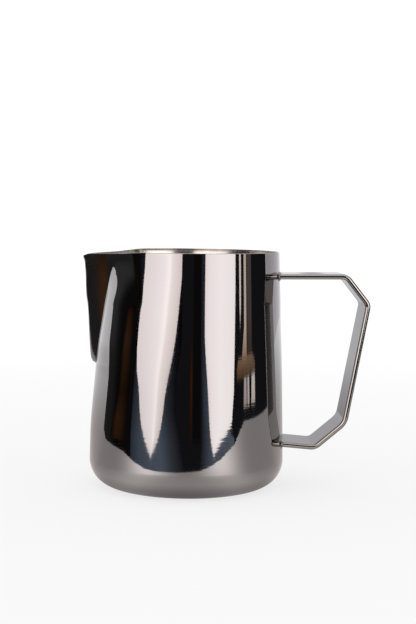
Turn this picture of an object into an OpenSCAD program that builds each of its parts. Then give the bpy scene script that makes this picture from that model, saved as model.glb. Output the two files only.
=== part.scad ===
// Pouring pot of polished sheet steel: a drawn cup with a sharp spout and a
// bent strip handle welded to its wall.
// Origin: centre of the flat base. +Z is up, +X points to the handle and -X to
// the spout. The pot stands on z = 0.

/* [Cup] */
// Outer diameter of the cup, just above its rounded base
cup_d = 90; // [80:0.5:100]
// Outer diameter at the rim
rim_d = 84; // [78:0.5:88]
// Height of the rim above the table
cup_h = 108.8; // [100:0.1:120]
// Outer radius of the corner between the base and the wall
corner_r = 12.3; // [8:0.1:16]
// Share of the wall's lean that comes as a curve instead of a straight taper
wall_bow = 0.34; // [0:0.01:0.6]
// Thickness of the sheet
sheet_t = 0.9; // [0.7:0.05:1.2]

/* [Spout] */
// Distance of the spout's tip from the cup's axis
tip_reach = 48.8; // [48:0.1:52]
// How far the tip lies below the rim
tip_drop = 2.8; // [1:0.1:4]
// Distance of the spout's front line from the cup's axis at its lower end
heel_reach = 44.9; // [44.6:0.1:45.5]
// Height of the lower end of the straight front line
heel_z = 59.9; // [50:0.1:70]
// Height of the spout's lowest point, hidden inside the wall
toe_z = 54.8; // [44:0.1:56]
// Half of the spout's width where it leaves the rim
mouth_half = 22; // [18:0.5:26]

/* [Handle] */
// Thickness of the handle's strip
strip_t = 2.5; // [2:0.1:3]
// Width of the handle's strip, over its round edges
strip_w = 24.7; // [20:0.1:28]
// Height of the strip's centre line at its upper end, hidden inside the wall
root_top_z = 97.5; // [94:0.1:100]
// Height of the strip's centre line at its lower end, hidden inside the wall
root_low_z = 21.25; // [19:0.05:26]
// Bend 1, the knuckle bend: distance from the cup's axis
bend1_x = 72; // [68:0.1:74]
// Bend 1: height
bend1_z = 97.9; // [96:0.1:100]
// Bend 2, the furthest point of the grip: distance from the cup's axis
bend2_x = 82.2; // [80:0.1:88]
// Bend 2: height
bend2_z = 85.1; // [80:0.1:88]
// Bend 3, the lower end of the grip: distance from the cup's axis
bend3_x = 72.4; // [70:0.1:76]
// Bend 3: height
bend3_z = 30.7; // [28:0.1:36]
// Bend 4, where the strip turns back to the cup: distance from the cup's axis
bend4_x = 58.9; // [56:0.1:62]
// Bend 4: height
bend4_z = 19.3; // [18:0.1:22]
// Diameter of the plain thumb pad on the top strip
pad_d = 14; // [10:0.5:18]
// Height of the thumb pad's dome
pad_h = 0.45; // [0.3:0.05:1]
// Leg length of the weld beads at the strip's two ends
weld_leg = 1; // [0.6:0.1:1.5]

/* [Hidden] */
$fn = 96;

cup_r = cup_d / 2;
rim_r = rim_d / 2;
lip_r = sheet_t / 2;
corner_steps = 12;
wall_steps = 16;
lip_steps = 6;

// Bends of the strip: position and centre-line radius
bend1_r = 4.6;
bend2_r = 4.2;
bend3_r = 8;
bend4_r = 5;
bends = [
    [bend1_x, bend1_z, bend1_r],
    [bend2_x, bend2_z, bend2_r],
    [bend3_x, bend3_z, bend3_r],
    [bend4_x, bend4_z, bend4_r]
];
// The strip starts and ends inside the wall and is then cut to the wall's curve
root_sink = 6;
root_x = rim_r - root_sink;
strip_path = concat([[root_x, root_top_z, 0]], bends, [[root_x, root_low_z, 0]]);
last_point = len(strip_path) - 1;

// The spout's wings end inside the wall and are then cut to the wall's curve
wing_sink = 0.6;
heel_half = 10;
over_rim = 3;
front_slope = (tip_reach - heel_reach) / (cup_h - tip_drop - heel_z);

// Steps of the round edges and of each bend of the strip
edge_steps = 8;
bend_steps = 6;
dome_steps = 8;

// Outer radius of the wall at height z: a taper plus a bow
function wall_r(z) =
    let (s = max(0, (z - corner_r) / (cup_h - corner_r)))
    cup_r - (cup_r - rim_r) * ((1 - wall_bow) * s + wall_bow * s * s);

// Quarter round between the base and the wall, moved inwards by inset
function corner_arc(inset) = [
    for (i = [0 : corner_steps])
        let (a = 90 * i / corner_steps, r = corner_r - inset)
        [cup_r - corner_r + r * sin(a), corner_r - r * cos(a)]
];

// The wall above the corner, up to height top, moved inwards by inset
function wall_line(inset, top) = [
    for (i = [1 : wall_steps])
        let (z = corner_r + (top - corner_r) * i / wall_steps)
        [wall_r(z) - inset, z]
];

// Half circle over the top of the sheet
function lip_arc() = [
    for (i = [1 : lip_steps - 1])
        let (a = 180 * i / lip_steps)
        [rim_r - lip_r + lip_r * cos(a), cup_h - lip_r + lip_r * sin(a)]
];

function backwards(list) = [for (i = [len(list) - 1 : -1 : 0]) list[i]];

// Direction from one path point to the next, in the XZ plane
function heading(i) = atan2(strip_path[i + 1][1] - strip_path[i][1], strip_path[i + 1][0] - strip_path[i][0]);

// Angle that the strip turns through at a path point, always clockwise
function turn(i) =
    let (t = heading(i - 1) - heading(i))
    (t < 0) ? t + 360 : t;

// Length that a bend takes from the straight on each side of it
function bend_cut(i) = (i == 0 || i == last_point) ? 0 : strip_path[i][2] * tan(turn(i) / 2);

// The space inside the cup's outer skin, grown by grow
module cup_solid(grow) {
    rotate_extrude()
        polygon(concat(
            [[0, -grow]],
            corner_arc(-grow),
            wall_line(-grow, cup_h),
            [[rim_r + grow, cup_h + 2 * over_rim], [0, cup_h + 2 * over_rim]]
        ));
}

module cup_sheet() {
    rotate_extrude()
        polygon(concat(
            [[0, 0]],
            corner_arc(0),
            wall_line(0, cup_h - lip_r),
            lip_arc(),
            backwards(wall_line(sheet_t, cup_h - lip_r)),
            backwards(corner_arc(sheet_t)),
            [[0, sheet_t]]
        ));
}

// Corner of a spout wing: inside the wall at height z, side mm from the middle plane
function wing_end(side, z) = [-sqrt(pow(wall_r(z) - wing_sink, 2) - pow(side, 2)), side, z];

// Wedge that the spout fills, with every side moved inwards by inset
module spout_wedge(inset) {
    top_z = cup_h + over_rim;
    top_reach = tip_reach + front_slope * (top_z - cup_h + tip_drop);
    nose_inset = inset / cos(atan((tip_reach - rim_r) / mouth_half));
    polyhedron(
        points = [
            [-top_reach + nose_inset, 0, top_z],
            wing_end(mouth_half - inset, cup_h) + [0, 0, over_rim],
            wing_end(inset - mouth_half, cup_h) + [0, 0, over_rim],
            [-heel_reach + nose_inset, 0, heel_z + inset],
            wing_end(heel_half - inset, heel_z + inset),
            wing_end(inset - heel_half, heel_z + inset),
            wing_end(0, toe_z + 2 * inset)
        ],
        faces = [
            [0, 1, 2],
            [0, 4, 1],
            [0, 3, 4],
            [0, 2, 5],
            [0, 5, 3],
            [3, 6, 4],
            [3, 5, 6],
            [1, 4, 5],
            [1, 5, 2],
            [4, 6, 5]
        ]
    );
}

// Everything under the rim line, which runs level and then down to the spout's tip
module under_rim_line() {
    slope_start = sqrt(pow(rim_r, 2) - pow(mouth_half, 2));
    end_x = tip_reach + over_rim;
    end_drop = tip_drop * (end_x - slope_start) / (tip_reach - slope_start);
    rotate([90, 0, 0])
        translate([0, 0, -cup_d])
            linear_extrude(2 * cup_d)
                polygon([
                    [cup_d, -over_rim],
                    [cup_d, cup_h],
                    [-slope_start, cup_h],
                    [-end_x, cup_h - end_drop],
                    [-end_x, -over_rim]
                ]);
}

// Cross-section of the strip: a flat bar with full round edges, grown by grow.
// The first number runs across the thickness and the second along the width.
function strip_section(grow) =
    let (flat_half = (strip_w - strip_t) / 2, edge_r = strip_t / 2 + grow)
    concat(
        [for (i = [0 : edge_steps]) let (a = 180 * i / edge_steps)
            [edge_r * cos(a), flat_half + edge_r * sin(a)]],
        [for (i = [0 : edge_steps]) let (a = 180 + 180 * i / edge_steps)
            [edge_r * cos(a), -flat_half + edge_r * sin(a)]]
    );

// Unit vector that points to the strip's outer face when it runs at angle h
function outward(h) = [-sin(h), cos(h)];

// Stations along the strip: centre-line point and direction, with every bend as an arc
function strip_stations() = concat(
    [[strip_path[0][0], strip_path[0][1], heading(0)]],
    [for (i = [1 : last_point - 1]) for (j = [0 : bend_steps])
        let (
            h0 = heading(i - 1),
            h = h0 - turn(i) * j / bend_steps,
            r = strip_path[i][2],
            start = [strip_path[i][0], strip_path[i][1]] - bend_cut(i) * [cos(h0), sin(h0)],
            p = start + r * (outward(h) - outward(h0))
        )
        [p[0], p[1], h]],
    [[strip_path[last_point][0], strip_path[last_point][1], heading(last_point - 1)]]
);

// Solid with the strip's cross-section, carried through a list of stations
module strip_sweep(stations) {
    ring = strip_section(0);
    n = len(ring);
    m = len(stations);
    polyhedron(
        points = [
            for (s = stations) for (q = ring)
                let (o = outward(s[2]))
                [s[0] + q[0] * o[0], q[1], s[1] + q[0] * o[1]]
        ],
        faces = concat(
            [[for (i = [0 : n - 1]) i]],
            [for (k = [0 : m - 2]) for (i = [0 : n - 1])
                let (i2 = (i + 1) % n)
                [k * n + i, (k + 1) * n + i, (k + 1) * n + i2, k * n + i2]],
            [[for (i = [n - 1 : -1 : 0]) (m - 1) * n + i]]
        )
    );
}

// One straight stretch of the strip, from one path point to the next, grown by grow
module strip_straight(i, grow) {
    start = strip_path[i];
    end = strip_path[i + 1];
    translate([start[0], 0, start[1]])
        rotate([0, 90 - heading(i), 0])
            linear_extrude(norm([end[0] - start[0], end[1] - start[1]]))
                polygon(strip_section(grow));
}

// Square collar round one end of the strip, following the wall's curve
module end_weld(i) {
    difference() {
        intersection() {
            strip_straight(i, weld_leg);
            cup_solid(weld_leg);
        }
        cup_solid(0);
        strip_straight(i, 0);
    }
}

// Cup drawn from one disc of sheet, cut open where the spout leaves it
module body_shell() {
    color("#6d6764")
        intersection() {
            difference() {
                cup_sheet();
                spout_wedge(sheet_t);
            }
            under_rim_line();
        }
}

// Pressed beak: two flat wings that meet in a sharp front line
module spout() {
    color("#5c5755")
        intersection() {
            difference() {
                spout_wedge(0);
                spout_wedge(sheet_t);
                cup_solid(0);
            }
            under_rim_line();
        }
}

// Flat bar bent four times into an open grip
module handle() {
    color("#8d8885")
        difference() {
            strip_sweep(strip_stations());
            cup_solid(0);
        }
}

// Low plain dome on the top strip, where the thumb rests
module thumb_pad() {
    dome_r = (pow(pad_d / 2, 2) + pow(pad_h, 2)) / (2 * pad_h);
    half_angle = asin(pad_d / 2 / dome_r);
    centre_x = (rim_r + bend1_x) / 2;
    centre_z = root_top_z + (centre_x - root_x) * tan(heading(0));
    color("#8d8885")
        translate([centre_x, 0, centre_z])
            rotate([0, -heading(0), 0])
                translate([0, 0, strip_t / 2])
                    rotate_extrude()
                        polygon(concat([[0, 0]], [
                            for (i = [0 : dome_steps])
                                let (a = half_angle * (1 - i / dome_steps))
                                [dome_r * sin(a), dome_r * (cos(a) - 1) + pad_h]
                        ]));
}

// Bead that joins the strip's upper end to the wall
module handle_weld_upper() {
    color("#7a7572")
        end_weld(0);
}

// Bead that joins the strip's lower end to the wall
module handle_weld_lower() {
    color("#7a7572")
        end_weld(last_point - 1);
}

body_shell();
spout();
handle();
thumb_pad();
handle_weld_upper();
handle_weld_lower();
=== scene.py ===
# %% [markdown]
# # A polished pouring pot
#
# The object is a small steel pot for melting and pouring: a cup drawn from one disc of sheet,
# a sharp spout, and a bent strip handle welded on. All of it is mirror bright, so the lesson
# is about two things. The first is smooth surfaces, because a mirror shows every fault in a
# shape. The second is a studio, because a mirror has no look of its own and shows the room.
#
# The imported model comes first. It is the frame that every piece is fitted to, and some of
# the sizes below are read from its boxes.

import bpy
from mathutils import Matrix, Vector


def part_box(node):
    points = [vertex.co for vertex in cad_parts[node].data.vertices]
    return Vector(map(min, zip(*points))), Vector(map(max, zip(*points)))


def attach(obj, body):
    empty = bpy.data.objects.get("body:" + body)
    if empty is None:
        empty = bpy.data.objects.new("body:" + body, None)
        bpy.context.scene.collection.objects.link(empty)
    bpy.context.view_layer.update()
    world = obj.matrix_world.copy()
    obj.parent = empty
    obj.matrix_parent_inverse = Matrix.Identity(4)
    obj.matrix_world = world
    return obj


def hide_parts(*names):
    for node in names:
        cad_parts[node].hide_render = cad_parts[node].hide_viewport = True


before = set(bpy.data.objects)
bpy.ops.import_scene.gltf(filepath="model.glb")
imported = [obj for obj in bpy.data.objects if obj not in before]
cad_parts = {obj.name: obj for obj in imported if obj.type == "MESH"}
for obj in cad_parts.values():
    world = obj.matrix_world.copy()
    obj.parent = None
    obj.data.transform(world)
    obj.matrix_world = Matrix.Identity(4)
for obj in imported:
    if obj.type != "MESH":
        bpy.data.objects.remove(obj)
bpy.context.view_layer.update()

import bpy
import numpy as np
from mathutils import Matrix, Vector

scene = bpy.context.scene

# %% [markdown]
# ## Sizes
#
# The shapes below are worked out in millimetres, which are easy to read for a pot that fits
# in a hand, and turned to metres when a mesh is made. Whatever the frame already knows is
# read from it. The rest are the few sizes that decide the shape.

# %% The sizes that the pieces share
MM = 0.001
_, body_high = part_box("body_shell")
handle_low, handle_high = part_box("handle")
pad_low, pad_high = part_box("thumb_pad")

CUP_R = body_high.y / MM
CUP_H = body_high.z / MM
RIM_R = 42.0
CORNER_R = 12.3
WALL_BOW = 0.34
SHEET = 0.9
LIP_R = SHEET / 2
STRIP_T = 2.5
STRIP_W = (handle_high.y - handle_low.y) / MM
print(f"cup radius {CUP_R:.1f} mm, height {CUP_H:.1f} mm, strip {STRIP_W:.1f} x {STRIP_T} mm")

# %% [markdown]
# ## Curves through a few points
#
# Some outlines of the spout follow no simple formula: its front line has a faint kink, and
# its top flares out at the tip. They could be Bezier curves drawn by hand. A monotone cubic
# through a few points is chosen instead, because it never overshoots between them, and in a
# mirror an overshoot would show as a ripple.

# %% A smooth curve through points, and a soft step
def smooth_curve(points, x):
    """A cubic between each pair of points. The slope at a point is the harmonic mean of the
    straight slopes on its two sides, which keeps the curve from overshooting."""
    xs, ys = np.array(points, float).T
    width = np.diff(xs)
    slope = np.diff(ys) / width
    mean = 2 * slope[:-1] * slope[1:] / (slope[:-1] + slope[1:] + 1e-12)
    tangent = np.concatenate([slope[:1], mean, slope[-1:]])
    i = np.clip(np.searchsorted(xs, x) - 1, 0, len(width) - 1)
    t = np.clip((x - xs[i]) / width[i], 0, 1)
    rise = ys[i + 1] - ys[i]
    ease = t * t * (3 - 2 * t)
    start = t * (1 - t) ** 2 * width[i] * tangent[i]
    end = t * t * (1 - t) * width[i] * tangent[i + 1]
    return ys[i] + rise * ease + start - end


def soft_step(low, high, x):
    """0 below low, 1 above high, and a smooth S between them."""
    t = np.clip((x - low) / (high - low), 0, 1)
    return t * t * (3 - 2 * t)


print("soft step at its middle:", float(soft_step(0, 2, 1.0)))

# %% [markdown]
# ## The wall, the spout and the crease between them
#
# On the real pot the wall is a taper with a slight bow. Beside the spout it is pinched in,
# so the spout's flat sides meet it in a sharp crease, and near the rim the crease fades out
# and the side runs straight into the wall.
#
# It could be sculpted. Here every surface is a distance from the pot's axis, worked out from
# an angle and a height, because then the exact slope is known everywhere and the mirror
# stays clean. Angles are measured from the spout's middle, so 0 looks along -X.

# %% Outlines of the spout
SIDE_ANGLE = np.radians(35)
NOSE_SOFTNESS = 0.004
BEAK_FLARE = 0.3
BEAK_WIDTH = np.radians(3)
FOOT_Z = 56.2
TOE_Z = 57.0
BLEND = 0.05
PINCH_END = np.radians(58)

# The line where the flat sides would meet: its distance from the axis at one height, and
# how much it leans out per millimetre of height
SIDE_Z = 61.0
SIDE_REACH = 45.2
SIDE_LEAN = 0.071

# Height and distance from the axis of the spout's front line, which the nose is cut back to
FRONT_LINE = [
    (56.2, 42.2),
    (56.5, 42.45),
    (57, 43.6),
    (57.8, 44.25),
    (59.2, 44.7),
    (61, 44.95),
    (70, 45.6),
    (80, 46.1),
    (85, 46.6),
    (88, 47.2),
    (96, 47.4),
    (102, 47.8),
    (104, 48.1),
    (105.6, 48.6),
]
# Height, and half the width of the spout where it meets the wall
CREASE = [
    (56.2, 0),
    (56.35, 2.6),
    (56.5, 3.9),
    (57, 4.2),
    (58, 4.5),
    (67, 7.0),
    (77, 10.4),
    (86, 13.5),
    (93, 16.3),
    (98, 18.3),
    (101, 20.0),
    (109, 25.8),
]
# Distance along X, and height of the rim's top edge
RIM_LINE = [
    (-48.8, 106.0),
    (-46, 107.0),
    (-42, 107.3),
    (-35, 107.65),
    (-29, 108.1),
    (-23.5, 108.6),
    (-19, CUP_H),
    (CUP_R, CUP_H),
]


def wall_radius(z):
    """The round wall: a straight taper plus a part that grows with the square of the height."""
    s = np.clip((z - CORNER_R) / (CUP_H - CORNER_R), 0, None)
    return CUP_R - (CUP_R - RIM_R) * ((1 - WALL_BOW) * s + WALL_BOW * s * s)


def side_line(z):
    """Distance from the axis of the line where the two flat sides would meet."""
    return SIDE_REACH + SIDE_LEAN * (z - SIDE_Z)


def spout_radius(angle, z):
    """Two flat sides that lean back from their common line, cut back at the nose to the front
    line. The smaller of the two distances counts, blended by minus b log(exp(-p/b) +
    exp(-q/b)). Just under the rim the nose flares out a little, a bell shape round its middle."""
    side = np.sqrt(np.sin(angle) ** 2 + NOSE_SOFTNESS ** 2) - NOSE_SOFTNESS
    flat = side_line(z) / (np.cos(angle) + np.tan(SIDE_ANGLE) * side)
    nose = smooth_curve(FRONT_LINE, z) / np.cos(angle)
    cut = -BLEND * np.logaddexp(-flat / BLEND, -nose / BLEND)
    return cut + BEAK_FLARE * soft_step(103, 106, z) * np.exp(-(angle / BEAK_WIDTH) ** 2)


def crease_angle(z):
    """The angle at which the spout's side meets the wall, from the crease's half width."""
    half = smooth_curve(CREASE, z)
    depth = side_line(z) - np.tan(SIDE_ANGLE) * half
    return np.arctan2(half, depth)


print(f"crease at 80 mm: {np.degrees(crease_angle(np.array(80.0))):.1f} degrees from the middle")

# %% [markdown]
# The pinch is deepest at the crease and dies out round the wall. Below the spout it goes on
# for a while as a soft hollow, because sheet metal doesn't stop bending at once.

# %% The pinched wall
PINCH_SHARPNESS = 2.5
HOLLOW_LOW = 24.0
HOLLOW_HIGH = 60.0
FLAT_LOW = TOE_Z - 5
FLAT_HIGH = 70.0
FADE_LOW = 84.0
FADE_HIGH = 105.0
RIM_SOFTNESS = 0.3
SIDE_END = np.radians(80)


def body_radius(angle, z):
    """The round wall less the pinch. The pinch's depth at the crease is whatever brings the
    wall to the spout's side. It falls as a power of the distance left to its far end. Near
    the rim the shape turns into the side's own straight line, which meets the wall softly."""
    angle = np.abs(angle)
    round_wall = wall_radius(z)
    toe = np.maximum(z, TOE_Z)
    edge = crease_angle(toe)
    depth = wall_radius(toe) - spout_radius(edge, toe)
    below_toe = soft_step(HOLLOW_LOW, HOLLOW_HIGH, np.minimum(z, TOE_Z))
    depth = depth * below_toe / soft_step(HOLLOW_LOW, HOLLOW_HIGH, TOE_Z)
    s = np.clip((angle - edge) / (PINCH_END - edge), -0.2, 1)
    flat_start = 1 - soft_step(FLAT_LOW, FLAT_HIGH, z)
    share = (1 - s) ** PINCH_SHARPNESS * (1 + flat_start * PINCH_SHARPNESS * s)
    pinched = round_wall - depth * share
    gap = round_wall - spout_radius(angle, z)
    straight = round_wall - RIM_SOFTNESS * np.logaddexp(0, gap / RIM_SOFTNESS)
    straight = np.where(angle < SIDE_END, straight, round_wall)
    fade = soft_step(FADE_LOW, FADE_HIGH, z)
    return pinched * (1 - fade) + straight * fade


def surface_points(radius, angle, z):
    """Points and outward normals of a surface given as a distance from the axis. The normal
    comes from the slopes of that distance, taken over a small step each way."""
    step_a = 1e-4
    step_z = 1e-2
    r = radius(angle, z)
    slope_a = (radius(angle + step_a, z) - radius(angle - step_a, z)) / (2 * step_a)
    slope_z = (radius(angle, z + step_z) - radius(angle, z - step_z)) / (2 * step_z)
    out = np.stack([-np.cos(angle), -np.sin(angle), np.zeros_like(angle)], -1)
    along = np.stack([np.sin(angle), -np.cos(angle), np.zeros_like(angle)], -1)
    up = np.array([0.0, 0.0, 1.0])
    points = out * r[..., None] + up * z[..., None]
    normals = out - along * (slope_a / r)[..., None] - up * slope_z[..., None]
    normals /= np.linalg.norm(normals, axis=-1, keepdims=True)
    return points, normals


print(f"pinch at 90 mm: {float(wall_radius(90.0) - spout_radius(crease_angle(90.0), 90.0)):.2f} mm")

# %% [markdown]
# ## From grids to meshes
#
# Each piece is a grid of points: rows along its profile and columns round it. One function
# turns the grid into quads, closes it at its ends, and gives every vertex the exact normal
# of the formula. Smooth shading alone would average the faces' normals, and that bends
# reflections at the edge of a piece.

# %% Grid to mesh
def grid_quads(rows, cols, wrap_rows=False, wrap_cols=False):
    """Four corners for each cell of the grid, counted row by row."""
    i = np.arange(rows if wrap_rows else rows - 1)[:, None]
    j = np.arange(cols if wrap_cols else cols - 1)[None, :]
    i2 = (i + 1) % rows
    j2 = (j + 1) % cols
    corners = (i * cols + j, i * cols + j2, i2 * cols + j2, i2 * cols + j)
    return np.stack(np.broadcast_arrays(*corners), -1).reshape(-1, 4)


def unit(vectors):
    """The vectors at length 1."""
    return vectors / np.maximum(np.linalg.norm(vectors, axis=-1, keepdims=True), 1e-12)


def make_piece(name, points, faces, normals, materials, material_index=None):
    """A mesh object from points in millimetres, lists of corners, and exact normals. It
    stands for the CAD node of the same name and rides on the one body that there is."""
    mesh = bpy.data.meshes.new(name)
    mesh.from_pydata((points * MM).tolist(), [], faces)
    mesh.polygons.foreach_set("use_smooth", np.ones(len(mesh.polygons), bool))
    for finish in materials:
        mesh.materials.append(finish)
    if material_index is not None:
        mesh.polygons.foreach_set("material_index", material_index)
    if normals is not None:
        mesh.normals_split_custom_set_from_vertices(unit(normals).tolist())
    mesh.update()
    piece = bpy.data.objects.new(name, mesh)
    scene.collection.objects.link(piece)
    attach(piece, "root")
    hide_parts(name.removesuffix("_piece"))
    corners = sum(len(face) - 2 for face in faces)
    print(f"{name}: {len(points)} points, {corners} triangles")
    return piece


print("cells of a 3 by 4 grid:", len(grid_quads(3, 4)))

# %% [markdown]
# ## Finishes
#
# A colour is written as the sRGB hex value that a screen shows, and one function turns it to
# the linear value that light adds up in. One small helper adds a node, sets it and links it.

# %% Colour and node helpers
def linear(code, strength=1.0):
    """sRGB hex to linear RGBA: each channel through the sRGB curve."""
    c = np.array([int(code[i:i + 2], 16) for i in (1, 3, 5)]) / 255
    c = np.where(c <= 0.04045, c / 12.92, ((c + 0.055) / 1.055) ** 2.4)
    return (*(c * strength).tolist(), 1.0)


def add_node(tree, kind, values=None, links=None, **settings):
    """Adds a node. values go to its inputs, links join other nodes' outputs to its inputs."""
    node = tree.nodes.new(kind)
    for key, value in settings.items():
        setattr(node, key, value)
    for key, value in (values or {}).items():
        node.inputs[key].default_value = value
    for key, output in (links or {}).items():
        tree.links.new(output, node.inputs[key])
    return node


def new_material(name):
    """An empty node material and its output node."""
    material = bpy.data.materials.new(name)
    material.use_nodes = True
    material.node_tree.nodes.clear()
    output = material.node_tree.nodes.new("ShaderNodeOutputMaterial")
    return material, material.node_tree, output


print("mid grey in linear light:", round(linear("#808080")[0], 3))

# %% [markdown]
# ## Polished steel
#
# The cup is stainless steel, turned against a polishing mop until it is a dark mirror. What
# the eye gets from that is a hard reflection with very faint rings round the cup, which make
# the edges of a bright window look slightly ragged where it narrows, and a broad waviness
# left by drawing the sheet.
#
# The rings could be an image. Noise squeezed along Z is chosen instead: it has no seam, and
# its scale comes straight from the size of a polishing line. Real lines are about 0.05 mm
# apart, too fine to show here, so they are drawn about 0.9 mm apart.

# %% The metals
def metal(name, colour, roughness, line_gap, line_depth, wave_depth=0.0, spread=0.25, edge_tint="#ffffff"):
    """A bare metal with polishing lines. line_gap is their spacing in millimetres, and the
    two depths are in thousandths of a millimetre. spread is how much the roughness varies."""
    material, tree, output = new_material(name)
    place = add_node(tree, "ShaderNodeTexCoord").outputs["Object"]
    along = 1000 / 60
    across = 1000 / line_gap
    squeezed = add_node(
        tree, "ShaderNodeMapping", {"Scale": (along, along, across)}, {"Vector": place}
    )
    lines = add_node(
        tree,
        "ShaderNodeTexNoise",
        {"Scale": 1.0, "Detail": 1.0, "Roughness": 0.5},
        {"Vector": squeezed.outputs["Vector"]},
    )
    waves = add_node(
        tree, "ShaderNodeTexNoise", {"Scale": 1000 / 45, "Detail": 1.0}, {"Vector": place}
    )
    smudges = add_node(
        tree, "ShaderNodeTexNoise", {"Scale": 1000 / 14, "Detail": 4.0}, {"Vector": place}
    )
    rough = add_node(
        tree,
        "ShaderNodeMapRange",
        {
            "From Min": 0.3,
            "From Max": 0.7,
            "To Min": roughness * (1 - spread),
            "To Max": roughness * (1 + spread),
        },
        {"Value": smudges.outputs["Fac"]},
    )
    wavy = add_node(
        tree,
        "ShaderNodeBump",
        {"Strength": 1.0, "Distance": wave_depth * 1e-6},
        {"Height": waves.outputs["Fac"]},
    )
    lined = add_node(
        tree,
        "ShaderNodeBump",
        {"Strength": 1.0, "Distance": line_depth * 1e-6},
        {"Height": lines.outputs["Fac"], "Normal": wavy.outputs["Normal"]},
    )
    shader = add_node(
        tree,
        "ShaderNodeBsdfPrincipled",
        {"Base Color": linear(colour), "Metallic": 1.0, "Specular Tint": linear(edge_tint)},
        {"Roughness": rough.outputs["Result"], "Normal": lined.outputs["Normal"]},
    )
    tree.links.new(shader.outputs["BSDF"], output.inputs["Surface"])
    return material


# Mop-polished stainless steel: a dark, slightly warm mirror.
mirror_steel = metal("mirror polished stainless steel", "#929091", 0.035, 0.9, 2.4, 9.0)
# Inside, the sheet keeps the satin that drawing and a scouring wheel leave.
satin_inside = metal("satin drawn stainless steel", "#c4beb9", 0.2, 0.6, 0.4, 8.0)
# The strip is polished less than the cup, so its flats are soft and its edges bright.
strip_steel = metal("polished stainless strip", "#9a9693", 0.09, 0.5, 0.0, 1.0, edge_tint="#c2c2c6")
# Weld metal that was brushed over: rougher and a little darker.
weld_steel = metal("brushed weld steel", "#78726d", 0.34, 0.3, 4.0, 8.0)
print("metals:", [m.name for m in (mirror_steel, satin_inside, strip_steel, weld_steel)])

# %% [markdown]
# ## The cup
#
# The real cup is one disc of sheet, drawn deep, with its rim rounded off. Its profile runs
# from the middle of the underside, round the corner, up the wall, over the lip and back down
# inside, always one sheet thickness away. Where the spout joins, the wall stops at the crease.
#
# It could be a Solidify modifier on an open surface. The profile is carried through by hand
# instead, so that the lip is a true half circle and the inside keeps exact normals too.

# %% Where the crease reaches the rim
search = np.linspace(FOOT_Z, CUP_H, 4000)
search_angle = crease_angle(search)
search_x = -spout_radius(search_angle, search) * np.cos(search_angle)
above_rim = search >= smooth_curve(RIM_LINE, search_x) - LIP_R
MOUTH_ANGLE = float(search_angle[np.argmax(above_rim)])
misfit = np.abs(body_radius(search_angle, search) - spout_radius(search_angle, search))
misfit = misfit[search < FADE_LOW]
print(f"the spout leaves the rim {np.degrees(MOUTH_ANGLE):.1f} degrees from its middle")
print(f"before they are joined, wall and spout differ by up to {misfit.max():.3f} mm")

# %% Rows and columns of the cup
MOUTH_COLS = 72
WALL_ROWS = 92
CORNER_ROWS = 22
BASE_ROWS = 12
LIP_ROWS = 7
THINNED = 0.35
THIN_REACH = 5.0

mouth_side = np.linspace(0, MOUTH_ANGLE, MOUTH_COLS + 1)[1:]
pinch_side = np.linspace(MOUTH_ANGLE, np.radians(66), 52)[1:]
back_side = np.linspace(np.radians(66), np.pi, 74)[1:]
one_side = np.concatenate([mouth_side, pinch_side, back_side])
columns = np.concatenate([-one_side[-2::-1], [0.0], one_side])


def wall_top(angle):
    """The height where a column of the wall ends: at the crease below the spout, and
    elsewhere half a sheet below the rim's top edge, which leaves room for the lip."""
    angle = np.abs(angle)
    crease = np.interp(np.maximum(angle, mouth_side[0]), search_angle, search)
    x = -body_radius(angle, np.full_like(angle, CUP_H - 1)) * np.cos(angle)
    rim = smooth_curve(RIM_LINE, x) - LIP_R
    return np.where(angle < MOUTH_ANGLE, crease, rim)


print(f"{len(columns)} columns, wall ends between {wall_top(columns).min():.1f} and {CUP_H - LIP_R:.1f} mm")

# %% [markdown]
# The base is drawn with a shallow hollow in it, as pressed bases are, so that the pot stands
# on a ring and doesn't rock. The corner's arc goes slightly past a right angle, to meet the
# leaning wall without a step in its direction.

# %% Points of the cup
BASE_R = CUP_R - CORNER_R
HOLLOW_DEPTH = 0.5


def underside():
    """Radius, height, and the normal's two parts along the base and round the corner."""
    r = np.linspace(0.4, BASE_R, BASE_ROWS, endpoint=False)
    z = HOLLOW_DEPTH * (1 - soft_step(25, 30, r))
    slope = np.gradient(z, r)
    lean = np.arctan((CUP_R - RIM_R) * (1 - WALL_BOW) / (CUP_H - CORNER_R))
    turn = np.linspace(0, np.pi / 2 + lean, CORNER_ROWS)
    radius = np.concatenate([r, BASE_R + CORNER_R * np.sin(turn)])
    height = np.concatenate([z, CORNER_R - CORNER_R * np.cos(turn)])
    out = np.concatenate([slope, np.sin(turn)])
    up = np.concatenate([-np.ones_like(r), -np.cos(turn)])
    return radius, height, out, up


def cup_skin():
    """Outer skin of the cup, row by row, with its normals."""
    radius, height, out, up = underside()
    ring = np.stack([-np.cos(columns), -np.sin(columns), np.zeros_like(columns)], -1)
    axis = np.array([0.0, 0.0, 1.0])
    low_points = radius[:, None, None] * ring + height[:, None, None] * axis
    low_normals = out[:, None, None] * ring + up[:, None, None] * axis
    rows = (np.arange(WALL_ROWS) + 1) / WALL_ROWS
    start = height[-1]
    z = start + rows[:, None] * (wall_top(columns) - start)[None, :]
    angle = np.broadcast_to(columns, z.shape)
    wall_points, wall_normals = surface_points(body_radius, angle, z)
    return np.concatenate([low_points, wall_points]), unit(np.concatenate([low_normals, wall_normals]))


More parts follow.
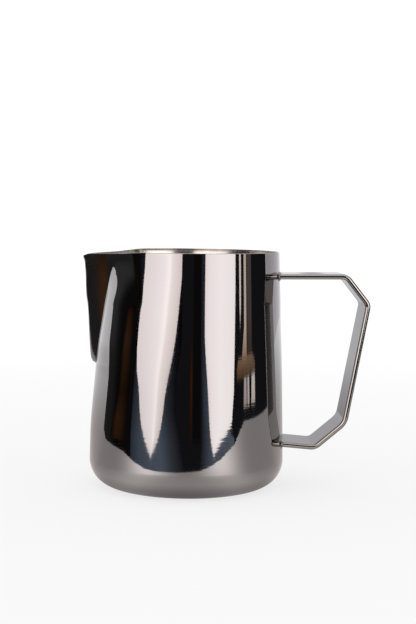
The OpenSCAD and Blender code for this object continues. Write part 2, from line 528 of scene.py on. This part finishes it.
def lip(points, normals, below, inside, bulge):
    """Half a circle over the edge of the sheet, from the skin's last row to the inner skin's
    first one. below is the row under it, which says which way the skin runs. Where bulge is
    0 the edge is flat."""
    run = unit(points - below)
    run = unit(run - normals * np.sum(run * normals, -1, keepdims=True))
    turn = np.linspace(0, np.pi, LIP_ROWS + 2)[1:-1, None, None]
    centre = (points + inside) / 2
    radius = np.linalg.norm(points - inside, axis=-1, keepdims=True) / 2
    ring = centre + radius * (np.cos(turn) * normals + np.sin(turn) * run * bulge[:, None])
    facing = np.cos(turn) * normals + np.sin(turn) * run
    return ring, facing


def lining_of(points, normals, below_rim):
    """The inner skin: one sheet inside the outer one, thinned near the rim by the polishing
    wheel. Where the sheet thins, the inner normal tips up by the slope of the thinning."""
    thin = THINNED * (1 - soft_step(0, THIN_REACH, below_rim))
    inner_points = points - (SHEET - thin)[..., None] * normals
    step = 0.01
    further = THINNED * (1 - soft_step(0, THIN_REACH, below_rim + step))
    slope = (thin - further) / step
    tipped = -normals + slope[..., None] * np.array([0.0, 0.0, 1.0])
    return inner_points, unit(tipped)


outer, outer_n = cup_skin()
bulge = np.where(np.abs(columns) < MOUTH_ANGLE - 1e-9, 0.0, 1.0)
below_rim = np.where(bulge > 0, outer[-1, :, 2] - outer[..., 2], np.maximum(CUP_H - LIP_R - outer[..., 2], 0))
lining, lining_n = lining_of(outer, outer_n, below_rim)
edge, edge_n = lip(outer[-1], outer_n[-1], outer[-2], lining[-1], bulge)
all_rows = np.arange(len(outer))
kept_rows = np.unique(np.concatenate([all_rows[:-8:2], all_rows[-8:]]))
inner = lining[kept_rows][::-1]
inner_n = lining_n[kept_rows][::-1]
cup = np.concatenate([outer, edge, inner])
cup_n = np.concatenate([outer_n, edge_n, inner_n])
print("cup grid:", cup.shape)

# %% [markdown]
# The two ends of the profile lie on the axis. Each is closed with one point and a fan of
# triangles, so that the cup is a solid sheet with no hole at its poles.

# %% Mesh of the cup
rows, cols = cup.shape[:2]
cup_faces = grid_quads(rows, cols, wrap_cols=True)
first_pole = rows * cols
j = np.arange(cols)
fan_low = np.stack([np.full(cols, first_pole), (j + 1) % cols, j], -1)
last_row = (rows - 1) * cols
fan_high = np.stack([np.full(cols, first_pole + 1), last_row + j, last_row + (j + 1) % cols], -1)
poles = np.array([[0, 0, HOLLOW_DEPTH], [0, 0, HOLLOW_DEPTH + SHEET]])
cup_points = np.concatenate([cup.reshape(-1, 3), poles])
cup_normals = np.concatenate([cup_n.reshape(-1, 3), [[0, 0, -1], [0, 0, 1]]])
inside_starts = len(outer) + LIP_ROWS
is_inside = np.concatenate(
    [cup_faces[:, 0] // cols >= inside_starts - 1, np.zeros(cols, bool), np.ones(cols, bool)]
)
make_piece(
    "body_shell_piece",
    cup_points,
    cup_faces.tolist() + fan_low.tolist() + fan_high.tolist(),
    cup_normals,
    [mirror_steel, satin_inside],
    is_inside.astype(np.int32),
)

# %% [markdown]
# ## The spout
#
# The spout is a beak with two flat sides and a sharp nose. Its rows end exactly on the cup's
# columns along the crease, so the two pieces share every point there and no gap can open.
# Its top row follows the rim's line down to the tip.

# %% Points of the spout
SPOUT_COLS = 49
across = np.linspace(-1, 1, SPOUT_COLS)
across = np.sign(across) * np.abs(across) ** 1.6

crease_z = wall_top(mouth_side)
crease_z[-1] = wall_top(np.array([MOUTH_ANGLE]))[0]
top_x = -spout_radius(across * MOUTH_ANGLE, np.full_like(across, 106.0)) * np.cos(across * MOUTH_ANGLE)
top_z = smooth_curve(RIM_LINE, top_x) - LIP_R
top_z[[0, -1]] = crease_z[-1]
stretch = (top_z - crease_z[0]) / (crease_z[-1] - crease_z[0])

spout_angle = mouth_side[:, None] * across[None, :]
spout_z = crease_z[0] + (crease_z - crease_z[0])[:, None] * stretch[None, :]
skin, skin_n = surface_points(spout_radius, spout_angle, spout_z)
on_wall, _ = surface_points(body_radius, spout_angle[:, [0, -1]], spout_z[:, [0, -1]])
skin[:, [0, -1]] = on_wall
print(f"spout from {crease_z[0]:.1f} mm to {top_z.max():.1f} mm, tip at {top_z.min() + LIP_R:.1f} mm")

# %% Mesh of the spout
spout_lining, spout_lining_n = lining_of(skin, skin_n, skin[-1, :, 2] - skin[..., 2])
spout_lip, spout_lip_n = lip(skin[-1], skin_n[-1], skin[-2], spout_lining[-1], np.ones(SPOUT_COLS))
spout_grid = np.concatenate([skin, spout_lip, spout_lining[::-1]])
spout_grid_n = np.concatenate([skin_n, spout_lip_n, spout_lining_n[::-1]])
rows, cols = spout_grid.shape[:2]
spout_faces = grid_quads(rows, cols, wrap_rows=True).tolist()
count = len(skin)
side_rows = np.arange(count - 1)
for col, forward in ((0, True), (cols - 1, False)):
    low_out = side_rows * cols + col
    high_out = (side_rows + 1) * cols + col
    low_in = (rows - 1 - side_rows) * cols + col
    high_in = (rows - 2 - side_rows) * cols + col
    strip = np.stack([low_out, high_out, high_in, low_in], -1)
    over = np.arange(count - 1, count + LIP_ROWS + 1) * cols + col
    closing = strip.tolist() + [over.tolist()]
    spout_faces += closing if forward else [face[::-1] for face in closing]
first_col = np.array([face[0] for face in spout_faces]) // cols
make_piece(
    "spout_piece",
    spout_grid.reshape(-1, 3),
    spout_faces,
    spout_grid_n.reshape(-1, 3),
    [mirror_steel, satin_inside],
    (first_col >= count + LIP_ROWS - 1).astype(np.int32),
)

# %% [markdown]
# ## The handle
#
# The handle is a flat bar with full round edges, bent four times in a press. A real bend has
# a radius, so each corner of the path becomes an arc. The bar could be a curve object with a
# bevel profile, but its ends have to follow the wall, so the section is carried along the
# path as a grid and each line of its first and last stretch runs on until it is in the wall.

# %% The handle's path
ROOT_X = RIM_R - 6
ROOT_TOP_Z = 97.5
ROOT_LOW_Z = 21.25
# Distance from the axis, height, and centre-line radius of each bend
BENDS = [(72, 97.9, 4.6), (82.2, 85.1, 4.2), (72.4, 30.7, 8), (58.9, 19.3, 5)]
ARC_STEPS = 14


def strip_path():
    """Points and directions of the centre line: each bend is an arc that touches the two
    straights beside it, as far from the corner as its radius times the tangent of half the
    angle that it turns through."""
    corners = np.array([(ROOT_X, ROOT_TOP_Z)] + [b[:2] for b in BENDS] + [(ROOT_X, ROOT_LOW_Z)])
    step = np.diff(corners, axis=0)
    heading = np.unwrap(np.arctan2(step[:, 1], step[:, 0]))
    turn = heading[:-1] - heading[1:]
    points = [corners[:1]]
    angles = [heading[:1]]
    for k, (x, z, radius) in enumerate(BENDS):
        h = heading[k] - turn[k] * np.linspace(0, 1, ARC_STEPS)
        before = np.array([np.cos(heading[k]), np.sin(heading[k])])
        start = np.array([x, z]) - radius * np.tan(turn[k] / 2) * before
        side = np.stack([-np.sin(h), np.cos(h)], -1)
        points.append(start + radius * (side - side[0]))
        angles.append(h)
    return np.concatenate(points + [corners[-1:]]), np.concatenate(angles + [heading[-1:]])


path, path_angle = strip_path()
print(f"handle's centre line: {np.sum(np.linalg.norm(np.diff(path, axis=0), axis=1)):.0f} mm long")

# %% The strip's section and its run into the wall
EDGE_STEPS = 14
SINK = 0.45


def strip_section(grow=0.0):
    """Outline of the bar: two half circles joined by flats. The first number runs through
    the thickness and the second across the width. Also the outline's own normals."""
    turn = np.linspace(0, np.pi, EDGE_STEPS)
    flat = (STRIP_W - STRIP_T) / 2
    radius = STRIP_T / 2 + grow
    flats = np.linspace(flat, -flat, 9)[1:-1]
    edge_a = np.stack([radius * np.cos(turn), flat + radius * np.sin(turn)], -1)
    edge_b = np.stack([-radius * np.cos(turn), -flat - radius * np.sin(turn)], -1)
    under = np.stack([np.full_like(flats, -radius), flats], -1)
    over = np.stack([np.full_like(flats, radius), -flats], -1)
    n_a = np.stack([np.cos(turn), np.sin(turn)], -1)
    n_under = np.tile([-1.0, 0.0], (len(flats), 1))
    section = np.concatenate([edge_a, under, edge_b, over])
    facing = np.concatenate([n_a, n_under, -n_a, -n_under])
    return section, facing


def place_section(section, point, angle):
    """The section's points in space, at a point of the path and square to its direction."""
    side = np.array([-np.sin(angle), 0.0, np.cos(angle)])
    width = np.array([0.0, 1.0, 0.0])
    centre = np.array([point[0], 0.0, point[1]])
    return centre + section[:, :1] * side + section[:, 1:] * width


def run_to_wall(points, angle, sink):
    """Slides points along the path's direction until each is sink deep in the wall."""
    moved = points.copy()
    for _ in range(4):
        target = np.sqrt((wall_radius(moved[:, 2]) - sink) ** 2 - moved[:, 1] ** 2)
        along = (target - moved[:, 0]) / np.cos(angle)
        moved[:, 0] += along * np.cos(angle)
        moved[:, 2] += along * np.sin(angle)
    return moved


section, section_n = strip_section()
print("points round the strip:", len(section))

# %% Mesh of the handle
stations = [place_section(section, p, a) for p, a in zip(path, path_angle)]
stations[0] = run_to_wall(stations[0], path_angle[0], SINK)
stations[-1] = run_to_wall(stations[-1], path_angle[-1], SINK)
facings = [place_section(section_n, (0, 0), a) for a in path_angle]
strip_points = np.array(stations)
rows, cols = strip_points.shape[:2]
strip_faces = grid_quads(rows, cols, wrap_cols=True)[:, ::-1].tolist()
first_cap = list(range(cols))
last_cap = list(range(rows * cols - 1, (rows - 1) * cols - 1, -1))
make_piece(
    "handle_piece",
    strip_points.reshape(-1, 3),
    strip_faces + [first_cap, last_cap],
    np.array(facings).reshape(-1, 3),
    [strip_steel],
)

# %% [markdown]
# ## The thumb pad
#
# A low round dome sits on the top strip, where the thumb presses. Its height over the strip
# is a slice of a sphere: flat in the middle and steeper towards its edge. It is plain, and
# the polish makes it show as a lens of light.

# %% Mesh of the thumb pad
PAD_R = 7.0
PAD_H = 0.45
PAD_RINGS = 16
PAD_COLS = 96
PAD_SINK = 0.3


def pad_surface():
    """Rings of a slice of a sphere, standing on the strip's upper face at its middle."""
    sphere_r = (PAD_R ** 2 + PAD_H ** 2) / (2 * PAD_H)
    centre_x = (pad_low.x + pad_high.x) / 2 / MM
    angle = path_angle[0]
    base_z = ROOT_TOP_Z + (centre_x - ROOT_X) * np.tan(angle)
    side = np.array([-np.sin(angle), 0.0, np.cos(angle)])
    ahead = np.array([np.cos(angle), 0.0, np.sin(angle)])
    width = np.array([0.0, 1.0, 0.0])
    base = np.array([centre_x, 0.0, base_z]) + side * STRIP_T / 2
    ring = np.linspace(PAD_R / PAD_RINGS, PAD_R, PAD_RINGS)[:, None, None]
    turn = np.linspace(0, 2 * np.pi, PAD_COLS, endpoint=False)[None, :, None]
    spoke = np.cos(turn) * ahead + np.sin(turn) * width
    rise = np.sqrt(sphere_r ** 2 - ring ** 2) - (sphere_r - PAD_H)
    top = base + ring * spoke + rise * side
    normals = unit(ring * spoke + (rise + sphere_r - PAD_H) * side)
    bottom = base + PAD_R * spoke - PAD_SINK * side
    points = np.concatenate([top, bottom])
    normals = np.concatenate([normals, np.broadcast_to(spoke, bottom.shape)])
    middle = np.array([base + PAD_H * side, base - PAD_SINK * side])
    return points, normals, middle, side


pad, pad_n, pad_middle, pad_side = pad_surface()
rows, cols = pad.shape[:2]
j = np.arange(cols)
top_pole = rows * cols
crown = np.stack([np.full(cols, top_pole), j, (j + 1) % cols], -1)
floor_row = (rows - 1) * cols
sole = np.stack([np.full(cols, top_pole + 1), floor_row + (j + 1) % cols, floor_row + j], -1)
make_piece(
    "thumb_pad_piece",
    np.concatenate([pad.reshape(-1, 3), pad_middle]),
    grid_quads(rows, cols, wrap_cols=True)[:, ::-1].tolist() + crown.tolist() + sole.tolist(),
    np.concatenate([pad_n.reshape(-1, 3), [pad_side, -pad_side]]),
    [strip_steel],
)

# %% [markdown]
# ## The welds
#
# Each end of the strip is welded to the wall all round. A bead is a small hollow fillet: it
# leaves the strip at one edge and the wall at the other, and a curve joins the two. The same
# function makes both beads, because only the strip's end and direction differ.

# %% The two weld beads
WELD_LEG = 1.0
BEAD_STEPS = 7


def weld_bead(name, point, angle):
    """A closed ring of sections round the strip. Each section is a quarter-round hollow from
    the strip to the wall, closed by a path that is sunk in the strip and in the wall."""
    outline, facing = strip_section()
    wide, _ = strip_section(WELD_LEG)
    sunk, _ = strip_section(-SINK)
    ahead = np.array([np.cos(angle), 0.0, np.sin(angle)])
    away = 1.0 if ahead[0] > 0 else -1.0
    at_wall = run_to_wall(place_section(outline, point, angle), angle, 0.0)
    on_wall = run_to_wall(place_section(wide, point, angle), angle, 0.0)
    in_wall = run_to_wall(place_section(wide, point, angle), angle, SINK)
    deep = run_to_wall(place_section(sunk, point, angle), angle, SINK)
    on_strip = at_wall + ahead * WELD_LEG * away
    t = np.linspace(0, 1, BEAD_STEPS)[:, None, None]
    ripple = 1 + 0.12 * np.sin(np.arange(len(outline)) * 2.4)[None, :, None]
    hollow = at_wall + (on_strip - at_wall) * (1 - t) ** 2 * ripple + (on_wall - at_wall) * t ** 2 * ripple
    ring = np.concatenate([hollow, [in_wall, deep, on_strip - (at_wall - deep) * 0.5]])
    rows, cols = ring.shape[:2]
    faces = grid_quads(rows, cols, wrap_rows=True, wrap_cols=True)
    if away < 0:
        faces = faces[:, ::-1]
    return make_piece(name, ring.reshape(-1, 3), faces.tolist(), None, [weld_steel])


weld_bead("handle_weld_upper_piece", path[0], path_angle[0])
weld_bead("handle_weld_lower_piece", path[-1], path_angle[-1])

# %% [markdown]
# ## The camera
#
# The camera looks slightly down at the pot from the side, with the handle to the right. Its
# direction comes from a heading, a pitch and a small roll.

# %% Camera
camera_data = bpy.data.cameras.new("camera")
camera_data.sensor_width = 36.0
camera_data.lens = 73.73
camera_data.clip_start = 0.01
camera = bpy.data.objects.new("camera", camera_data)
scene.collection.objects.link(camera)
heading, pitch, roll = np.radians([1.646, 4.335, 0.75])
forward = Vector((np.sin(heading) * np.cos(pitch), np.cos(heading) * np.cos(pitch), -np.sin(pitch)))
level = Vector((np.cos(heading), -np.sin(heading), 0.0))
above = level.cross(forward)
right = np.cos(roll) * level + np.sin(roll) * above
top = -np.sin(roll) * level + np.cos(roll) * above
turned = Matrix((right, top, -forward)).transposed().to_4x4()
camera.matrix_world = Matrix.Translation((-0.00768, -0.59085, 0.1251)) @ turned
scene.camera = camera
print("camera at", tuple(round(v, 4) for v in camera.location))

# %% [markdown]
# ## The studio
#
# A mirror pot shows only what stands round it: tall soft lights that narrow to a point at
# the table, black flags beside them, and the white sweep behind the pot. Each card is a strip
# on a wide cylinder round the pot. It is given by rows of elevation, left edge, right edge
# and colour, with azimuths from +Y at the back, through -X, to -Y at the camera.
#
# The cards are seen only in reflections, so they neither light the floor nor hide the view.

# %% Cards for the reflections
CARD_DISTANCE = 3.0
CARD_CENTRE_Z = 0.06


def glow_material(name, per_point=False, colour="#ffffff", strength=1.0):
    """Light of one colour, or of the colour stored at each point of the mesh."""
    material, tree, output = new_material(name)
    light = add_node(tree, "ShaderNodeEmission", {"Color": linear(colour), "Strength": strength})
    if per_point:
        stored = add_node(tree, "ShaderNodeAttribute", attribute_name="glow")
        tree.links.new(stored.outputs["Color"], light.inputs["Color"])
    tree.links.new(light.outputs["Emission"], output.inputs["Surface"])
    return material


card_glow = glow_material("studio card", per_point=True)


def only_reflections(stage_piece):
    """Hides a stage piece from everything but glossy rays."""
    stage_piece.visible_camera = False
    stage_piece.visible_diffuse = False
    stage_piece.visible_shadow = False
    stage_piece.visible_transmission = False


def stage_mesh(name, points, faces, colours, material):
    """A stage piece with one colour for each point."""
    mesh = bpy.data.meshes.new(name)
    mesh.from_pydata(points.tolist(), [], faces)
    glow = mesh.attributes.new("glow", "FLOAT_COLOR", "POINT")
    glow.data.foreach_set("color", np.asarray(colours, np.float32).ravel())
    mesh.materials.append(material)
    piece = bpy.data.objects.new(name, mesh)
    scene.collection.objects.link(piece)
    only_reflections(piece)
    return piece


def card(name, rows, depth=0.0, cols=25, shade=None):
    """A strip of a cylinder. rows are (elevation, left, right, colour, strength), in degrees.
    depth brings the card nearer than the others, so that it covers them. shade is a list of
    (share of the width, colour) that takes the place of the rows' colours."""
    elevation, left, right_edge = np.radians(np.array([row[:3] for row in rows])).T
    t = np.linspace(0, 1, cols)
    azimuth = left[:, None] * (1 - t) + right_edge[:, None] * t
    reach = CARD_DISTANCE - depth
    height = CARD_CENTRE_Z + reach * np.tan(elevation)[:, None] + 0 * azimuth
    points = np.stack([-np.sin(azimuth) * reach, np.cos(azimuth) * reach, height], -1)
    colour = np.array([linear(row[3], row[4]) for row in rows])
    colours = np.repeat(colour[:, None, :], cols, axis=1)
    if shade:
        stops = [stop[0] for stop in shade]
        ramp = np.array([linear(stop[1]) for stop in shade])
        across = np.stack([np.interp(t, stops, ramp[:, k]) for k in range(4)], -1)
        strength = np.array([row[4] for row in rows])
        colours = strength[:, None, None] * across[None, :, :]
    faces = grid_quads(len(rows), cols).tolist()
    return stage_mesh("card_" + name, points.reshape(-1, 3), faces, colours.reshape(-1, 4), card_glow)


# The steel gives back a little over a quarter of the light, so a card is about 3.5 times as
# bright as it looks in the pot.
card("flags_left", [
    (-35, 64.3, 118, "#0a0909", 3.5),
    (-1.5, 64.3, 118, "#0a0909", 3.5),
    (0, 63.9, 118, "#0a0909", 3.5),
    (1.5, 63.2, 118, "#0a0909", 3.5),
    (3, 62.2, 118, "#0a0909", 3.5),
    (40, 62.2, 118, "#0a0909", 3.5),
])
card("flag_edge", [
    (-35, 64.3, 92, "#ffffff", 1.2),
    (-5, 64.3, 92, "#ffffff", 1.6),
    (-3.8, 64.3, 92, "#ffffff", 2.6),
    (-1.5, 64.3, 92, "#ffffff", 3.2),
    (0, 63.9, 92, "#ffffff", 3.4),
    (1.5, 63.2, 92, "#ffffff", 3.5),
    (3, 62.2, 92, "#ffffff", 3.5),
    (40, 62.2, 92, "#ffffff", 3.5),
], depth=0.05, shade=[
    (0, "#262626"),
    (0.35, "#262626"),
    (0.75, "#121212"),
    (1, "#0a0909"),
])
card("wood", [
    (-8.6, 79, 104, "#ffffff", 2.6),
    (-7.1, 81, 105, "#ffffff", 3.0),
    (-5.6, 87, 107, "#ffffff", 1.5),
    (-4.4, 90, 108, "#ffffff", 2.2),
    (-2.4, 95, 110, "#ffffff", 3.6),
    (-0.4, 99, 113, "#ffffff", 1.6),
    (1.2, 101, 114, "#ffffff", 0.5),
], depth=0.1, shade=[
    (0, "#0a0909"),
    (0.3, "#2c1b0f"),
    (0.6, "#26180e"),
    (1, "#0b0909"),
])
card("flags_front", [
    (-35, 117, 290, "#0f1013", 3.5),
    (-3, 117, 290, "#0f0f11", 3.5),
    (40, 117, 290, "#131316", 3.5),
], cols=73)
card("bounce_left", [
    (-10.5, 111, 180, "#ffffff", 3.5),
    (-8, 111, 172, "#ffffff", 3.5),
    (-6, 113, 166, "#ffffff", 2.6),
    (-4, 115, 167, "#ffffff", 1.6),
    (-2, 118, 172, "#ffffff", 0.8),
    (30, 122, 177, "#ffffff", 0.5),
], depth=0.05, cols=41, shade=[
    (0, "#23272e"),
    (0.2, "#38404a"),
    (0.6, "#414954"),
    (0.8, "#2a2d33"),
    (1, "#101012"),
])
card("bounce_right", [
    (-10.5, 194, 240, "#ffffff", 3.5),
    (-8, 196, 236, "#ffffff", 3.5),
    (-6, 196, 214, "#ffffff", 2.6),
    (-4, 195, 208, "#ffffff", 1.8),
    (-2, 194, 203, "#ffffff", 1.0),
    (30, 194, 203, "#ffffff", 0.6),
], depth=0.05, shade=[
    (0, "#101012"),
    (0.25, "#363c45"),
    (1, "#474e59"),
])
card("softbox_left", [
    (-9.1, 137, 138, "#ffffff", 3.3),
    (-8.2, 130, 145, "#ffffff", 3.5),
    (-7.3, 125, 149, "#ffffff", 3.5),
    (-6.2, 122.4, 151.7, "#ffffff", 3.5),
    (-5.2, 121.2, 153.5, "#ffffff", 3.55),
    (-4.0, 117.6, 157, "#ffffff", 3.6),
    (-2.7, 117.2, 161.7, "#ffffff", 3.65),
    (-1.4, 118.6, 165.2, "#ffffff", 3.7),
    (0, 121, 167.8, "#ffffff", 3.8),
    (2.4, 125, 171.5, "#ffffff", 3.8),
    (12, 128, 173, "#ffffff", 3.8),
    (32, 128, 173, "#ffffff", 3.8),
], depth=0.15, cols=41, shade=[
    (0, "#d4ccc8"),
    (0.3, "#dad3d0"),
    (0.55, "#e2dbd8"),
    (0.68, "#efe8e4"),
    (0.76, "#dbd2ce"),
    (1, "#c6bcb8"),
])
card("softbox_right", [
    (-8.9, 210.5, 211.5, "#dcd6d3", 3.4),
    (-8.1, 207.7, 220, "#dcd6d3", 3.6),
    (-7.2, 206, 233, "#dcd6d3", 3.6),
    (-5.2, 204, 235.8, "#dfd9d6", 3.6),
    (-4.0, 202.6, 236.2, "#e2dcd9", 3.6),
    (-2.7, 200.8, 236.8, "#e3deda", 3.6),
    (-1.4, 199.5, 237.3, "#e5e0dc", 3.6),
    (1.2, 199.5, 238.3, "#e9e5e2", 3.6),
    (12, 201, 240, "#e9e5e2", 3.6),
    (32, 201, 240, "#e9e5e2", 3.6),
], depth=0.15, shade=[
    (0, "#d8d0cc"),
    (0.12, "#e2dcd9"),
    (0.5, "#e9e5e3"),
    (0.85, "#e6e1de"),
    (1, "#e0dad6"),
])
# The spout's flat side magnifies a degree and a half of the room, so this narrow board fills
# a good part of it and is only a hair's breadth on the round wall.
card("board", [
    (-40, 66.55, 67.5, "#3a2412", 3.5),
    (-9, 66.75, 67.3, "#3a2412", 3.5),
    (-5.5, 66.85, 67.3, "#301d0f", 3.5),
    (-4, 66.95, 67.3, "#1c1109", 3.5),
], depth=0.1, cols=3)
# The white sweep behind the pot is dimmer at its right-hand end.
card("sweep_right", [
    (-35, 291, 358, "#ffffff", 3.5),
    (40, 291, 358, "#ffffff", 3.5),
], shade=[
    (0, "#7e7c7f"),
    (0.35, "#888689"),
    (1, "#9e9e9e"),
])

# %% [markdown]
# Between and beside the lights the flags aren't even: there are thin bright gaps, a warm
# streak of something wooden, and a bluish part low down.

# %% Thin streaks
STREAKS = [
    ("amber", [
        (-8, 183, 185, "#1c0d06", 3.5),
        (-4, 183, 185.2, "#321507", 3.5),
        (-1, 183.5, 184.5, "#150a05", 3.5),
    ]),
    ("centre_black", [
        (-8, 186, 195, "#0a090a", 3.5),
        (20, 186, 195, "#0a0909", 3.5),
    ]),
    ("gap_one", [
        (-1.6, 244.5, 245, "#2b2a2f", 3.5),
        (-0.1, 244, 246, "#c0b8b2", 3.5),
        (20, 243, 248, "#dcd4cf", 3.5),
    ]),
    ("gap_two", [
        (-3.4, 247, 254, "#7a6250", 3.5),
        (-1.4, 250.5, 253.8, "#a9998c", 3.5),
        (20, 250.5, 254.8, "#bcb4aa", 3.5),
    ]),
    ("gap_three", [
        (-3.4, 255, 262, "#31271e", 3.5),
        (-1, 255, 262, "#3c3532", 3.5),
        (20, 255.5, 262, "#4b4340", 3.5),
    ]),
    ("wood_right", [
        (-4.6, 240, 267, "#3a2b20", 3.5),
        (-3.9, 240, 267, "#5a4636", 3.5),
        (-3.3, 242, 262, "#6d5a4a", 3.5),
    ]),
    ("stripe_one", [
        (-6.4, 249.5, 254, "#8a807a", 3.5),
        (-4.6, 250, 253.5, "#9a908a", 3.5),
    ]),
    ("stripe_two", [
        (-6.4, 255, 258, "#9b9690", 3.5),
        (-4.6, 255, 257.5, "#a6a19e", 3.5),
    ]),
    ("stripe_three", [
        (-6.4, 261, 267, "#a59d96", 3.5),
        (-4.6, 261.5, 266.5, "#b5ada5", 3.5),
    ]),
]
for streak, rows in STREAKS:
    card(streak, rows, depth=0.2, cols=3)
print("streaks:", len(STREAKS))

# %% [markdown]
# The table is a white top with a curved front edge. Reflections meet it close to the pot,
# so it fills the lower part of the wall with grey, with a painted pool of light under each of
# the two lights. It is drawn as rings of points round the pot, and each point carries its own
# painted brightness: the grey, the two pools of light and the shadow round the foot are painted.

# %% The table in the reflections
# Azimuth, and distance of the table's edge from the pot's axis, in metres
TABLE_EDGE = [
    (0, 1.2),
    (55, 1.2),
    (66, 0.7),
    (68, 0.43),
    (70.5, 0.3),
    (73, 0.245),
    (79, 0.2),
    (86, 0.19),
    (109, 0.178),
    (125, 0.15),
    (137, 0.136),
    (149, 0.13),
    (171, 0.131),
    (193, 0.138),
    (204, 0.152),
    (215, 0.174),
    (232, 0.226),
    (246, 0.33),
    (262, 0.335),
    (275, 0.342),
    (286, 0.36),
    (297, 0.7),
    (320, 1.2),
    (360, 1.2),
]


def table_top():
    """Rings from the axis to the edge. Their brightness is painted light: an even part that rises
    behind the pot and is a little lighter close to it, plus a painted bell-shaped pool under
    each light, less a painted narrow shadow round the pot's foot."""
    azimuth = np.linspace(0, 2 * np.pi, 361)[:-1]
    table = np.array(TABLE_EDGE)
    edge = np.interp(np.degrees(azimuth), table[:, 0], table[:, 1])
    share = np.linspace(0, 1, 60)[:, None] ** 1.5
    reach = 0.02 + (edge[None, :] - 0.02) * share
    degrees = np.degrees(azimuth)[None, :]
    # Painted light: the table is brighter behind the pot, and a little lighter close to it.
    behind = soft_step(0.15, 0.45, np.cos(np.radians(degrees)))
    near = 1 - soft_step(0.05, 0.13, reach)
    even = 0.56 + 0.12 * near + behind * (0.1 + 0.54 * soft_step(0.12, 1.15, reach))
    # Painted pools of light, one under each softbox.
    pool_left = 1.75 * np.exp(-((degrees - 141) / 20) ** 2)
    pool_right = 1.5 * np.exp(-((degrees - 214) / 18) ** 2)
    pools = (pool_left + pool_right) * (0.2 + 0.8 * soft_step(0.045, 0.16, reach))
    # Painted shadow round the pot's foot.
    shadow = 0.35 + 0.65 * soft_step(0.034, 0.052, reach)
    bright = (even + pools) * shadow
    points = np.stack([-np.sin(azimuth) * reach, np.cos(azimuth) * reach, 0 * reach - 0.0002], -1)
    # The painted glow is a little warmer close to the pot.
    warmth = (1 - soft_step(0.15, 0.6, reach))[..., None]
    colours = bright[..., None] * (1 - warmth * (1 - np.array(linear("#fff8f4"))))
    return points, colours


table_points, table_colours = table_top()
faces = grid_quads(*table_points.shape[:2], wrap_cols=True).tolist()
stage_mesh("table", table_points.reshape(-1, 3), faces, table_colours.reshape(-1, 4), card_glow)
print("table points:", table_points.size // 3)

# %% [markdown]
# The floor that the camera sees is a plain pale sheet. Part of its brightness is painted
# light of its own, so that the pot's soft shadow stays faint, as it is under large lights.

# %% Floor and world
FLOOR_REACH = 6.0


def floor_disc():
    """Rings round the pot. The sheet's own painted light rises a little with distance, so that
    it runs into the white behind it with no horizon."""
    turn = np.linspace(0, 2 * np.pi, 97)[:-1][None, :]
    reach = np.concatenate([[0.00001], np.geomspace(0.03, FLOOR_REACH, 40)])[:, None]
    points = np.stack([np.cos(turn) * reach, np.sin(turn) * reach, 0 * turn * reach - 0.0001], -1)
    # Painted light: the sheet's own glow, stronger further from the pot.
    painted_glow = 0.76 + 0.14 * soft_step(0.1, 1.2, reach) + 0 * turn
    return points, np.stack([painted_glow, painted_glow, painted_glow, np.ones_like(painted_glow)], -1)


floor_points, floor_painted_glow = floor_disc()
faces = grid_quads(*floor_points.shape[:2], wrap_cols=True)[:, ::-1].tolist()
# The floor's material: a dim diffuse sheet plus painted light of its own.
floor_paper_and_painted_glow = glow_material("white paper with painted glow", per_point=True)
tree = floor_paper_and_painted_glow.node_tree
output = tree.get_output_node("ALL")
light = output.inputs["Surface"].links[0].from_socket
paper = add_node(tree, "ShaderNodeBsdfDiffuse", {"Color": (0.16, 0.16, 0.16, 1.0)})
both = add_node(tree, "ShaderNodeAddShader", links={0: paper.outputs["BSDF"], 1: light})
tree.links.new(both.outputs["Shader"], output.inputs["Surface"])
floor = stage_mesh("floor", floor_points.reshape(-1, 3), faces, floor_painted_glow.reshape(-1, 4), floor_paper_and_painted_glow)
floor.visible_camera = True
floor.visible_diffuse = True
floor.visible_glossy = False

world = bpy.data.worlds.new("white studio")
scene.world = world
world.use_nodes = True
world.node_tree.nodes["Background"].inputs["Color"].default_value = (1.0, 1.0, 1.0, 1.0)
world.node_tree.nodes["Background"].inputs["Strength"].default_value = 1.2
scene.view_settings.view_transform = "Standard"
print("floor and world ready")
